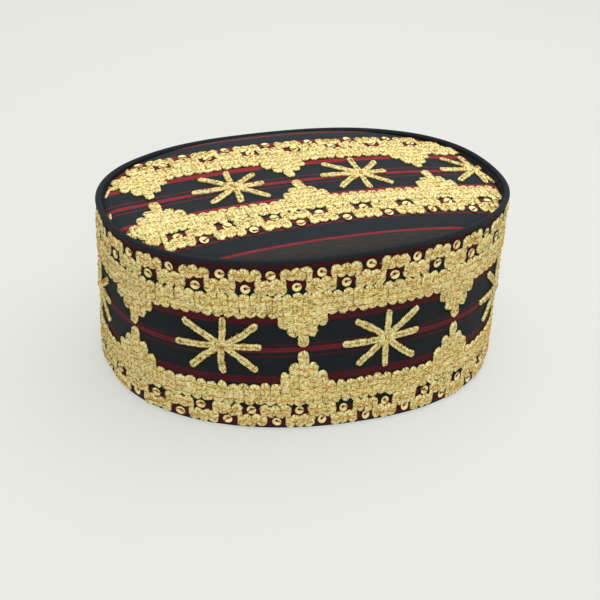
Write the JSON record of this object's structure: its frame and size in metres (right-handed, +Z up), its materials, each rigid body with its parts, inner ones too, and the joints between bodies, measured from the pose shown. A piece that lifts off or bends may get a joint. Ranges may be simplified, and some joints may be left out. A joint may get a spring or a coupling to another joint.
{
  "type": "songkok",
  "caption": "Stiff oval songkok: upright cloth side band, padded flat crown, round piping at the seam, and borders and stars of couched gold thread.",
  "frame": {"origin": "middle of the open rim that the cap stands on", "axes": "+Z up through the crown, +X along the cap's longer way towards its wider end, Y across it"},
  "size_m": [0.214, 0.163, 0.0941],
  "materials": {
    "band_cloth": "plain woven cloth, navy black with dark red stripes",
    "crown_cloth": "plain woven cloth, navy black with dark red stripes, over padding",
    "piping_cloth": "fine ribbed dark navy cord cover",
    "gold_thread": "pale gold metal-wrapped thread, couched in close loops"
  },
  "bodies": {
    "root": {"side_band": "band_cloth", "crown_panel": "crown_cloth", "rim_piping": "piping_cloth", "wall_border_upper": "gold_thread", "wall_border_lower": "gold_thread", "crown_border_back": "gold_thread", "crown_border_front": "gold_thread", "wall_star_1": "gold_thread", "wall_star_2": "gold_thread", "wall_star_3": "gold_thread", "wall_star_4": "gold_thread", "wall_star_5": "gold_thread", "wall_star_6": "gold_thread", "wall_star_7": "gold_thread", "crown_star_1": "gold_thread", "crown_star_2": "gold_thread", "crown_star_3": "gold_thread"}
  },
  "joints": []
}
